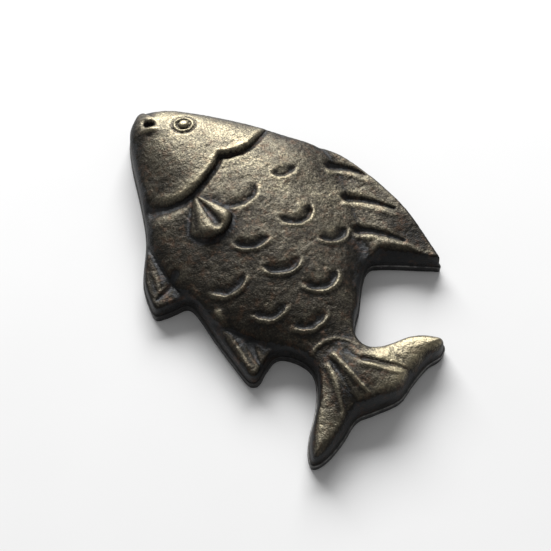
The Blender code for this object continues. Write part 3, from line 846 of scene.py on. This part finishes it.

# %% [markdown]
# Front, side wall and back are numbered as one list of points, so that the casting is a single
# closed skin. Numbering them on is simpler than modelling three meshes and welding them. On the
# walls and the back each share keeps one value, the wear and the painted light and shade alike.

# %% The casting in one closed mesh
front_points = np.column_stack([front_plan, front_z])
wall_points = np.vstack(wall_loops[1:])
first_back = len(front_points) + len(wall_points)
wall_faces = strips(0, count, len(wall_loops))
wall_faces = wall_faces + np.where(wall_faces >= count, len(front_points) - count, 0)
sill_faces = strips(first_back - count, count, 2)
casting_points = np.vstack([front_points, wall_points, back_points])
casting_faces = (
    front_faces.tolist() + wall_faces[:, ::-1].tolist() + sill_faces[:, ::-1].tolist()
    + (back_faces[:, ::-1] + first_back).tolist())


def with_walls(values, on_walls):
    """The face's values, then the same value for every point of the walls and the back."""
    return np.concatenate([values, np.full(len(casting_points) - len(front_points), on_walls)])


fish_relief = build_mesh("fish_relief", casting_points, casting_faces, (
    ("proud", with_walls(proud, -0.1)),
    ("high_up", with_walls(high_up, 0.0)),
    ("level", with_walls(ease((level - 0.5) / 0.45), 0.5)),
    ("painted_light", with_walls(painted_light, 0.05)),
))
fish_relief.data.set_sharp_from_angle(angle=math.radians(55.0))
print("casting", len(casting_points), "points,", len(casting_faces), "faces")

# %% [markdown]
# ## The steel plate
#
# A blanked plate has a soft rolled edge on the side where the punch went in, then a smooth band
# and a rougher torn one. An extruded outline with a bevel would have none of that. So its edge
# is a stack of loops, and each repeats the outline at its own height and inset. The flats are
# triangulated with the holes left out, and the holes' walls join the two flats.

# %% Opener plate
HOLE_SIDES = 64
COUNTERSINK_RADIUS = 3.5       # its mouth, at 45 degrees down to the bore
TEAR = 0.05                    # half the depth of the torn edge's roughness
PLATE_EDGE = (                 # inset, height, share of the roughness, wear and painted highlight
    (0.28, 0.0, 0.0, 0.0), (0.08, 0.07, 0.3, 0.0), (0.0, 0.25, 0.6, 0.0),
    (0.0, 0.8, 1.0, 0.0), (0.0, 1.25, 1.0, 0.0), (0.0, 1.35, 0.2, 0.0),
    (0.0, PLATE_TOP - 0.4, 0.0, 0.1), (0.1, PLATE_TOP - 0.12, 0.0, 1.0),
    (0.4, PLATE_TOP, 0.0, 0.0),
)


def flat_with_holes(line, holes):
    """Triangles that fill a closed line but leave out the circles (centre, radius)."""
    circles = [circle(centre, radius, HOLE_SIDES) for centre, radius in holes]
    points = np.vstack([line, *circles])
    around = np.arange(HOLE_SIDES)
    edges = []
    for number in range(len(holes)):
        start = len(line) + number * HOLE_SIDES
        edges += np.column_stack([start + around, start + np.roll(around, -1)]).tolist()
    made = delaunay_2d_cdt(
        [Vector(place) for place in points.tolist()], edges, [list(range(len(line)))], 1, 1e-7)
    faces = np.array(made[2])
    middle = points[faces].mean(1)
    keep = np.ones(len(faces), bool)
    for centre, radius in holes:
        keep &= np.hypot(*(middle - centre).T) > radius * math.cos(math.pi / HOLE_SIDES) * 0.999
    return points, faces[keep]


def plate_hole_profiles():
    """For each hole its centre and its (radius, height) steps from the back to the top."""
    bore = SHANK_RADIUS + GAP
    peg_hole = PEG_RADIUS + GAP
    cup_hole = CUP_WALL_RADIUS + GAP
    holes = []
    for place in screw_places:
        holes.append((place, (
            (COUNTERSINK_RADIUS, 0.0), (bore, COUNTERSINK_RADIUS - bore), (bore, PLATE_TOP))))
    for place in PEGS:
        holes.append((place, ((peg_hole, 0.0), (peg_hole, PLATE_TOP))))
    holes.append((magnet_place, ((cup_hole, 0.0), (cup_hole, PLATE_TOP))))
    return holes


def join_parts(parts):
    """Points and faces of several parts as one list, each part's faces numbered on."""
    points = []
    faces = []
    total = 0
    for part_points, part_faces in parts:
        points.append(part_points)
        faces += (part_faces + total).tolist()
        total += len(part_points)
    return np.vstack(points), faces


def opener_plate_mesh():
    """Points and faces of the whole plate, and how bare its edges are worn, with a painted highlight
    along the tail's rear edge. The edge is one loop of points for each step."""
    count = len(plate_line)
    turned_line = np.column_stack([plate_line.sum(1), plate_line[:, 0] - plate_line[:, 1]])
    torn = TEAR * (1.0 + value_noise(turned_line, 0.5, 6))
    loops = []
    for inset, height, rough, _ in PLATE_EDGE:
        plan = plate_line + (inset + rough * torn)[:, None] * inward(plate_line)
        loops.append(np.column_stack([plan, np.full(count, height)]))
    holes = plate_hole_profiles()
    at_back = [(place, profile[0][0]) for place, profile in holes]
    at_top = [(place, profile[-1][0]) for place, profile in holes]
    back, back_faces = flat_with_holes(loops[0][:, :2], at_back)
    top, top_faces = flat_with_holes(loops[-1][:, :2], at_top)
    parts = [
        (np.column_stack([back, np.zeros(len(back))]), back_faces[:, ::-1]),
        (np.column_stack([top, np.full(len(top), PLATE_TOP)]), top_faces),
        (np.vstack(loops), strips(0, count, len(loops))),
    ]
    for place, profile in holes:
        rings = [
            np.column_stack([circle(place, radius, HOLE_SIDES), np.full(HOLE_SIDES, height)])
            for radius, height in profile]
        parts.append((np.vstack(rings), strips(0, HOLE_SIDES, len(rings))[:, ::-1]))
    points, faces = join_parts(parts)
    edge_wear_and_highlight = np.zeros(len(points))
    first = len(back) + len(top)
    # along the tail's rear edge the bright upper edge is a painted highlight; at the lip it is wear
    # from caps
    tail_edge_highlight = ease((plate_line[:, 0] - 36.0) / 6.0)
    at_lip = bump(np.hypot(*(plate_line - 0.5 * (LIP_ROOT + LIP_TIP)).T) / 8.0)
    wear_and_highlight_here = 0.12 + 0.88 * np.maximum(tail_edge_highlight, at_lip)
    # the last column of each step, wear and painted highlight, times where it shows
    edge_wear_and_highlight[first:first + len(loops) * count] = np.concatenate(
        [wear * wear_and_highlight_here for *_, wear in PLATE_EDGE])
    return points, faces, (("edge_wear_and_highlight", edge_wear_and_highlight),)


def welded(piece, distance=0.004):
    """Join the points that lie on top of each other, and keep the real edges sharp."""
    shape = bmesh.new()
    shape.from_mesh(piece.data)
    bmesh.ops.remove_doubles(shape, verts=shape.verts, dist=distance * MM)
    shape.to_mesh(piece.data)
    shape.free()
    piece.data.shade_smooth()
    piece.data.set_sharp_from_angle(angle=math.radians(40.0))
    return piece


steel_plate = welded(build_mesh("steel_opener_plate", *opener_plate_mesh()))
print("plate", len(steel_plate.data.vertices), "points")

# %% [markdown]
# ## Turned pieces: screws, magnet and its cup
#
# All three come off a lathe or a round press tool, so each is a profile carried round an axis.
# The screw differs in two places: its shank's radius also depends on the height less the angle,
# which makes the thread a helix, and the recess in its head is a hexagon instead of a circle.

# %% Turned pieces
def turned(name, place, profile, sides):
    """A closed solid turned about the upright axis. `profile` holds (radius, height) steps, where
    a radius may be a whole row of values, one for each angle; both ends meet the axis."""
    turn = np.linspace(0.0, 2.0 * math.pi, sides, endpoint=False)
    loops = []
    for radius, height in profile:
        across = np.broadcast_to(radius, (sides,))
        loops.append(np.column_stack([
            place[0] + across * np.cos(turn), place[1] + across * np.sin(turn),
            np.full(sides, height)]))
    points = np.vstack(loops)
    last = len(points)
    points = np.vstack([
        points, (place[0], place[1], profile[0][1]), (place[0], place[1], profile[-1][1])])
    here = np.arange(sides)
    after = (here + 1) % sides
    start_cap = np.column_stack([after, here, np.full(sides, last)])
    end_base = (len(profile) - 1) * sides
    end_cap = np.column_stack([end_base + here, end_base + after, np.full(sides, last + 1)])
    faces = strips(0, sides, len(profile)).tolist() + start_cap.tolist() + end_cap.tolist()
    piece = build_mesh(name, points, faces)
    piece.data.set_sharp_from_angle(angle=math.radians(35.0))
    return piece


def rounded(corners, radius, steps=4):
    """The profile with each inner corner replaced by a small curve through `steps` points."""
    corners = [np.array(corner, float) for corner in corners]
    smooth = [corners[0]]
    for before, corner, after in zip(corners, corners[1:], corners[2:]):
        back = before - corner
        on = after - corner
        reach = min(radius, 0.45 * np.linalg.norm(back), 0.45 * np.linalg.norm(on))
        first = corner + back / np.linalg.norm(back) * reach
        last = corner + on / np.linalg.norm(on) * reach
        for t in np.linspace(0.0, 1.0, steps):
            smooth.append((1 - t) ** 2 * first + 2 * (1 - t) * t * corner + t * t * last)
    smooth.append(corners[-1])
    return [tuple(step) for step in smooth]


THREAD_PITCH = 0.5
THREAD_DEPTH = 0.28
HEAD_RADIUS = 3.0
RECESS_DEPTH = 1.1
SCREW_SIDES = 72               # a multiple of six, so that the hexagon's corners stay sharp
TURNED_SIDES = 120


def screw_profile(low, top):
    """Steps from the recess's floor, over the head and down the thread to the screw's tip."""
    turn = np.linspace(0.0, 2.0 * math.pi, SCREW_SIDES, endpoint=False)
    sixth = math.pi / 3.0
    hexagon = 1.0 / np.cos(turn % sixth - 0.5 * sixth)
    recess = low + RECESS_DEPTH
    steps = [(0.55, recess + 0.25), (0.98 * hexagon, recess), (1.0 * hexagon, low + 0.12)]
    steps += [(1.10 * hexagon, low), (HEAD_RADIUS - 0.15, low), (HEAD_RADIUS, low + 0.08)]
    steps += [(HEAD_RADIUS, low + 0.16), (SHANK_RADIUS - THREAD_DEPTH + 0.06, low + 1.66)]
    for height in np.arange(low + 1.8, top - 0.35, THREAD_PITCH / 8.0):
        phase = (height / THREAD_PITCH - turn / (2.0 * math.pi)) % 1.0
        crest = 1.0 - np.abs(2.0 * phase - 1.0)
        taper = min(1.0, (top - height) / 0.9)
        steps.append((SHANK_RADIUS - THREAD_DEPTH * (1.0 - crest) - 0.35 * (1.0 - taper), height))
    steps.append((SHANK_RADIUS - 0.55, top - 0.05))
    steps.append((0.4, top))
    return steps


screws = []
for name, place in zip(SCREWS, screw_places):
    _, low, top = middle_of(name)
    screws.append(turned("countersunk_" + name, place, screw_profile(low, top), SCREW_SIDES))
print(len(screws), "screws of", len(screws[0].data.vertices), "points")

# %% Magnet and cup
DISC_RADIUS = 9.0
POCKET_RADIUS = DISC_RADIUS + GAP
FLANGE_RADIUS = CUP_WALL_RADIUS + 1.4
CUP_FLOOR = 1.0
EDGE_ROUND = 0.35


def turned_from(name, place, steps):
    """A turned piece from its corners, each rounded; the first and last lie on the axis."""
    return turned(name, place, rounded(steps, EDGE_ROUND)[1:-1], TURNED_SIDES)


flange_top = LAND + FLANGE_THICKNESS
pressed_cup = turned_from("pressed_magnet_cup", cup_place, [
    (0.0, cup_top - CUP_FLOOR), (POCKET_RADIUS, cup_top - CUP_FLOOR), (POCKET_RADIUS, cup_low),
    (CUP_WALL_RADIUS, cup_low), (CUP_WALL_RADIUS, LAND), (FLANGE_RADIUS, LAND),
    (FLANGE_RADIUS, flange_top), (CUP_WALL_RADIUS, flange_top), (CUP_WALL_RADIUS, cup_top),
    (0.0, cup_top)])
ferrite_disc = turned_from("ferrite_magnet_disc", magnet_place, [
    (0.0, magnet_low), (DISC_RADIUS, magnet_low), (DISC_RADIUS, magnet_top), (0.0, magnet_top)])
print("cup from", cup_low, "to", cup_top, "disc from", magnet_low, "to", magnet_top)

# %% [markdown]
# ## Finishes
#
# Every finish is a node material, worked out from the piece's own coordinates, so that it has no
# seams and no picture files. A small helper adds a node and joins it up, so that the recipe of
# each finish reads from top to bottom.

# %% Helpers for node materials
class Finish:
    """A new material with its shader, and short ways to add and join nodes."""

    def __init__(self, name, metallic):
        self.material = bpy.data.materials.new(name)
        self.material.use_nodes = True
        self.tree = self.material.node_tree
        self.shader = self.tree.nodes["Principled BSDF"]
        self.shader.inputs["Metallic"].default_value = metallic
        self.object_space = self.tree.nodes.new("ShaderNodeTexCoord").outputs["Object"]

    def join(self, source, socket):
        """Link a node's output to a socket, or set the socket if `source` is a plain value."""
        if isinstance(source, bpy.types.NodeSocket):
            self.tree.links.new(source, socket)
        else:
            socket.default_value = source

    def noise(self, size, detail=3.0, roughness=0.55, stretch=None):
        """Noise whose lumps are about `size` millimetres across, from 0 to 1."""
        node = self.tree.nodes.new("ShaderNodeTexNoise")
        node.inputs["Scale"].default_value = 1.0 / (size * MM)
        node.inputs["Detail"].default_value = detail
        node.inputs["Roughness"].default_value = roughness
        where = self.object_space
        if stretch is not None:
            mapping = self.tree.nodes.new("ShaderNodeMapping")
            mapping.inputs["Scale"].default_value = stretch
            self.join(where, mapping.inputs["Vector"])
            where = mapping.outputs["Vector"]
        self.join(where, node.inputs["Vector"])
        return node.outputs["Fac"]

    def attribute(self, name):
        """A value that the mesh carries at its points."""
        node = self.tree.nodes.new("ShaderNodeAttribute")
        node.attribute_name = name
        return node.outputs["Fac"]

    def maths(self, operation, first, second=0.0, third=0.0):
        """The result of one sum or product; MULTIPLY_ADD is first times second, plus third."""
        node = self.tree.nodes.new("ShaderNodeMath")
        node.operation = operation
        for source, socket in zip((first, second, third), node.inputs):
            self.join(source, socket)
        return node.outputs[0]

    def stretch(self, value, low, high, new_low=0.0, new_high=1.0):
        """The value, moved from the range low..high to a new range and held inside it."""
        node = self.tree.nodes.new("ShaderNodeMapRange")
        for source, name in (
                (value, "Value"), (low, "From Min"), (high, "From Max"),
                (new_low, "To Min"), (new_high, "To Max")):
            self.join(source, node.inputs[name])
        return node.outputs["Result"]

    def ramp(self, value, stops):
        """A colour that runs through the stops (place, red, green, blue)."""
        node = self.tree.nodes.new("ShaderNodeValToRGB")
        ramp = node.color_ramp
        while len(ramp.elements) < len(stops):
            ramp.elements.new(0.5)
        for element, (place, *colour) in zip(ramp.elements, stops):
            element.position = place
            element.color = (*colour, 1.0)
        self.join(value, node.inputs["Fac"])
        return node.outputs["Color"]

    def blend(self, share, first, second):
        """The first colour where the share is 0, and the second where it is 1."""
        node = self.tree.nodes.new("ShaderNodeMix")
        node.data_type = "RGBA"
        self.join(share, node.inputs["Factor"])
        sockets = [socket for socket in node.inputs if socket.type == "RGBA"]
        for source, socket in zip((first, second), sockets):
            if not isinstance(source, bpy.types.NodeSocket):
                source = (*source, 1.0)
            self.join(source, socket)
        return [socket for socket in node.outputs if socket.type == "RGBA"][0]

    def bump(self, layers):
        """Bumps from (height source, depth in millimetres) layers, added up."""
        total = 0.0
        for source, depth in layers:
            total = self.maths("MULTIPLY_ADD", source, depth * MM, total)
        node = self.tree.nodes.new("ShaderNodeBump")
        node.inputs["Distance"].default_value = 1.0
        self.join(total, node.inputs["Height"])
        self.join(node.outputs["Normal"], self.shader.inputs["Normal"])

    def coat(self, colour, roughness):
        """Set the colour and the roughness, each a value or a node's output."""
        self.join(colour, self.shader.inputs["Base Color"])
        self.join(roughness, self.shader.inputs["Roughness"])
        return self.material


# %% [markdown]
# Antique bronze has a lighter blue-grey on the steep walls, painted light, a brown-black patina in
# the hollows, and dull gold where the relief is rubbed bare. One share adds up that wear and the
# painted light and shade, and a ramp turns it into colour. Painted shade darkens the steep slopes,
# the low places and the belly side. Painted light brightens the high places, the head, the back and
# the tail's upper lobe. Noise breaks up the border, more so where the painted light is strong. Here
# and there a patch has a reddish cast, and a fine grain of bumps gives the sparkle of a sand
# casting.

# %% Antique bronze
def antique_bronze():
    """Bronze worn bare on its relief, with painted light and shade: the relief's own shares, a
    blotch and a speckle, then a ramp of colour.
    """
    finish = Finish("antique_bronze_worn_and_painted_light", metallic=1.0)
    painted_light_share = finish.attribute("painted_light")
    blotch = finish.noise(5.0, detail=4.0)
    speck = finish.noise(0.48, detail=3.0, roughness=0.65)
    wear_and_painted_light = finish.stretch(blotch, 0.3, 0.7, -0.24, 0.0)
    # the worn relief, then painted light from above, painted light on high places and painted shade
    # on steep slopes, then the speckle, stronger where the painted light is
    for share, weight in (
            (finish.attribute("proud"), 0.32), (painted_light_share, 0.26),
            (finish.attribute("high_up"), 0.16), (finish.attribute("level"), 0.34),
            (finish.stretch(speck, 0.3, 0.7, -1.0, 1.0),
             finish.stretch(painted_light_share, 0.0, 1.0, 0.17, 0.30))):
        wear_and_painted_light = finish.maths("MULTIPLY_ADD", share, weight, wear_and_painted_light)
    # the lowest stop is painted light on the steep walls; from there the ramp runs from dark patina
    # up to bare gold
    colour = finish.ramp(wear_and_painted_light, (
        (0.00, 0.040, 0.041, 0.042), (0.12, 0.020, 0.019, 0.017), (0.34, 0.038, 0.034, 0.028),
        (0.62, 0.108, 0.097, 0.073), (1.00, 0.310, 0.273, 0.185)))
    red_patch = finish.stretch(finish.noise(2.0, detail=4.0, roughness=0.7), 0.52, 0.72, 0.0, 0.30)
    colour = finish.blend(red_patch, colour, (0.16, 0.085, 0.05))
    roughness = finish.stretch(wear_and_painted_light, 0.1, 0.9, 0.52, 0.42)
    finish.bump((
        (finish.noise(0.35, detail=2.0), 0.14), (finish.noise(1.4, detail=2.0), 0.05)))
    return finish.coat(colour, roughness)


# %% [markdown]
# The plate is blackened steel: nearly black, with a faint grey bloom and lighter flecks where a few
# scratches and the worn upper edge show bare metal. Along the tail's rear edge that bright upper
# edge is a painted highlight. Along the edge the wear and the highlight are a value that the mesh
# carries, because noise alone doesn't know where a cap or a thumb rubs.

# %% Blackened steel
def blackened_steel():
    """Near-black steel with a cloudy bloom, and bare flecks, scratches and worn edges, and a painted
    highlight along the tail's rear edge.
    """
    finish = Finish("blackened_plate_steel", metallic=1.0)
    bloom = finish.noise(7.0, detail=5.0)
    fleck = finish.noise(0.5, detail=3.0, roughness=0.7)
    scratch = finish.noise(1.6, detail=2.0, stretch=(0.12, 2.2, 1.0))
    base = finish.ramp(bloom, ((0.3, 0.030, 0.030, 0.032), (0.7, 0.060, 0.060, 0.058)))
    bare = finish.stretch(fleck, 0.66, 0.76, 0.0, 0.6)
    worn = finish.maths("MAXIMUM", bare, finish.stretch(scratch, 0.70, 0.76, 0.0, 0.7))
    patchy = finish.stretch(finish.noise(1.3, detail=4.0), 0.36, 0.60, 0.25, 1.0)
    # worn edges, and the painted highlight along the tail's rear edge
    edge = finish.maths("MULTIPLY", finish.attribute("edge_wear_and_highlight"), patchy)
    worn = finish.maths("MAXIMUM", worn, edge)
    colour = finish.blend(worn, base, (0.30, 0.295, 0.285))
    finish.bump(((finish.noise(0.35, detail=2.0), 0.018), (scratch, 0.008)))
    return finish.coat(colour, finish.stretch(fleck, 0.35, 0.65, 0.36, 0.55))


# %% [markdown]
# The screws are bright zinc with a faint yellow stain. The cup is nickel-plated steel, with the
# circular marks that the press and the polishing left, and the magnet is grey-black ferrite,
# a fired ceramic with tiny pale grains.

# %% Zinc, cup steel and ferrite
def zinc_plating():
    """Bright zinc with a faint yellow stain."""
    finish = Finish("zinc_plated_screw", metallic=1.0)
    stain = finish.noise(1.2, detail=4.0)
    colour = finish.ramp(stain, ((0.35, 0.50, 0.50, 0.49), (0.68, 0.62, 0.58, 0.46)))
    finish.bump(((finish.noise(0.25, detail=1.0), 0.006),))
    return finish.coat(colour, finish.stretch(stain, 0.3, 0.7, 0.24, 0.40))


def cup_nickel(centre):
    """Nickel with circular marks round the cup's centre."""
    finish = Finish("nickel_plated_cup", metallic=1.0)
    spread = finish.tree.nodes.new("ShaderNodeMapping")
    spread.inputs["Location"].default_value = (-centre[0] * MM, -centre[1] * MM, 0.0)
    finish.join(finish.object_space, spread.inputs["Vector"])
    rings = finish.tree.nodes.new("ShaderNodeTexWave")
    rings.wave_type = "RINGS"
    rings.rings_direction = "Z"
    rings.inputs["Scale"].default_value = 900.0
    rings.inputs["Distortion"].default_value = 1.5
    finish.join(spread.outputs["Vector"], rings.inputs["Vector"])
    dull = finish.noise(2.5, detail=4.0)
    colour = finish.ramp(dull, ((0.3, 0.52, 0.51, 0.49), (0.7, 0.64, 0.63, 0.60)))
    finish.bump(((rings.outputs["Fac"], 0.004),))
    return finish.coat(colour, finish.stretch(dull, 0.3, 0.7, 0.22, 0.36))


def fired_ferrite():
    """Grey-black ceramic with pale grains."""
    finish = Finish("fired_ferrite", metallic=0.2)
    grain = finish.noise(0.22, detail=3.0, roughness=0.7)
    colour = finish.ramp(grain, (
        (0.40, 0.028, 0.028, 0.030), (0.62, 0.052, 0.051, 0.053), (0.72, 0.14, 0.14, 0.14)))
    finish.bump(((grain, 0.012),))
    return finish.coat(colour, 0.62)


# %% Each piece gets its finish and its place
def wear(piece, finish, node, slot):
    """Give a piece its finish, let it ride on the one body, and let it stand for its part."""
    piece.data.materials.clear()
    piece.data.materials.append(finish)
    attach(piece, "root")
    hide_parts(node)


wear(fish_relief, antique_bronze(), "relief_casting", "antique_bronze")
wear(steel_plate, blackened_steel(), "opener_plate", "blackened_steel")
zinc = zinc_plating()
for screw, node in zip(screws, SCREWS):
    wear(screw, zinc, node, "zinc_screw_steel")
wear(pressed_cup, cup_nickel(cup_place - DRAWN_MIDDLE), "magnet_cup", "bright_cup_steel")
wear(ferrite_disc, fired_ferrite(), "magnet_disc", "magnet_ferrite")
print("finishes:", sorted(material.name for material in bpy.data.materials))

# %% [markdown]
# ## Floor, light and camera
#
# The opener lies on a pale matt floor, and the camera looks down at its belly side. A single
# broad soft panel stands low behind the fish, so that light grazes the relief and every scale
# throws a small shadow. A weak even light from all round keeps the shadows open.

# %% Floor and camera
VIEW_TURN = 49.0               # the camera's azimuth, in degrees
VIEW_RISE = 60.0               # its elevation above the floor
VIEW_DISTANCE = 287.0
LOOK_AT = Vector((6.395, -2.894, 0.0)) * MM
FLOOR_REACH = 1.6              # metres


def direction(turn, rise):
    """The unit vector from the opener towards azimuth `turn` and elevation `rise`, in degrees."""
    flat = math.cos(math.radians(rise))
    return Vector((
        math.sin(math.radians(turn)) * flat, -math.cos(math.radians(turn)) * flat,
        math.sin(math.radians(rise))))


def look_back(thing, away, distance):
    """Put a camera or a light at a distance along `away`, facing the opener."""
    bpy.context.scene.collection.objects.link(thing)
    thing.location = LOOK_AT + away * distance
    thing.rotation_euler = away.to_track_quat("Z", "Y").to_euler()


floor_mesh = bpy.data.meshes.new("pale_floor")
corners = [(-1, -1), (1, -1), (1, 1), (-1, 1)]
floor_mesh.from_pydata(
    [(x * FLOOR_REACH, y * FLOOR_REACH, 0.0) for x, y in corners], [], [(0, 1, 2, 3)])
pale_floor = bpy.data.objects.new("pale_floor", floor_mesh)
bpy.context.scene.collection.objects.link(pale_floor)
paper = Finish("pale_matt_paper", metallic=0.0)
paper_tone = paper.ramp(paper.noise(60.0), ((0.3, 0.83, 0.83, 0.83), (0.7, 0.85, 0.85, 0.85)))
floor_mesh.materials.append(paper.coat(paper_tone, 0.9))

camera_data = bpy.data.cameras.new("belly_side_camera")
camera_data.lens = 75.0
camera_data.sensor_width = 36.0
camera = bpy.data.objects.new("belly_side_camera", camera_data)
look_back(camera, direction(VIEW_TURN, VIEW_RISE), VIEW_DISTANCE * MM)
bpy.context.scene.camera = camera
print("camera at", camera.location)

# %% Light
PANEL_TURN = VIEW_TURN + 188.0     # just past the far side of the fish
PANEL_RISE = 30.0
PANEL_DISTANCE = 1.5               # metres, as the panel's own sizes
panel_data = bpy.data.lights.new("back_panel", "AREA")
panel_data.shape = "RECTANGLE"
panel_data.size = 1.4
panel_data.size_y = 0.7
panel_data.energy = 46.0
panel = bpy.data.objects.new("back_panel", panel_data)
look_back(panel, direction(PANEL_TURN, PANEL_RISE), PANEL_DISTANCE)
print("panel at", panel.location)

world = bpy.data.worlds.new("even_light")
world.use_nodes = True
world.node_tree.nodes["Background"].inputs["Color"].default_value = (1.0, 1.0, 1.0, 1.0)
world.node_tree.nodes["Background"].inputs["Strength"].default_value = 0.25
bpy.context.scene.world = world
bpy.context.scene.view_settings.view_transform = "Standard"
